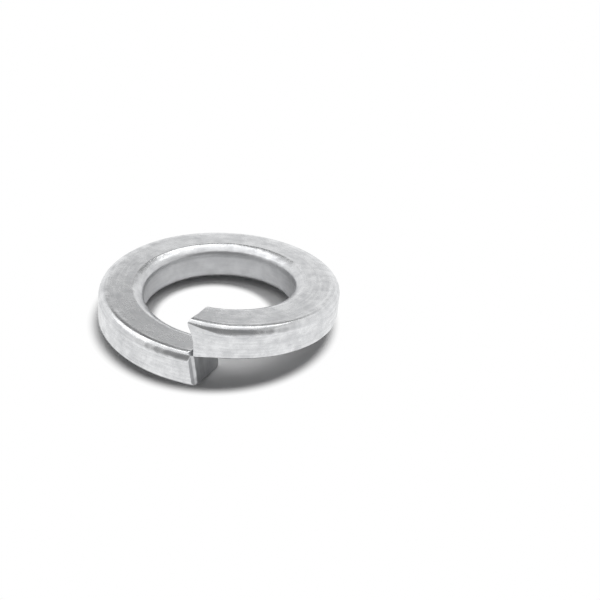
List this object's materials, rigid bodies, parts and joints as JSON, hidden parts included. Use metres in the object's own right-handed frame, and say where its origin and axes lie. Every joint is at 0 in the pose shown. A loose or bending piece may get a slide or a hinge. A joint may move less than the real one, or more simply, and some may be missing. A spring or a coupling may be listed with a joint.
{
  "type": "spring lock washer",
  "caption": "Helical spring lock washer: one turn of rounded-corner flat wire, sheared at a slant, with one end standing above the other.",
  "frame": {"origin": "on the bore's axis, level with the lowest point of the underside, which is under the low end at the split", "axes": "+Z along the bore's axis, towards the bolt head; the split is at the front, on -Y; the turn climbs clockwise seen from above"},
  "size_m": [0.0262, 0.0262, 0.0076],
  "materials": {
    "zinc_plate": "bright zinc plate on rolled spring steel"
  },
  "bodies": {
    "root": {"lock_washer": "zinc_plate"}
  },
  "joints": []
}
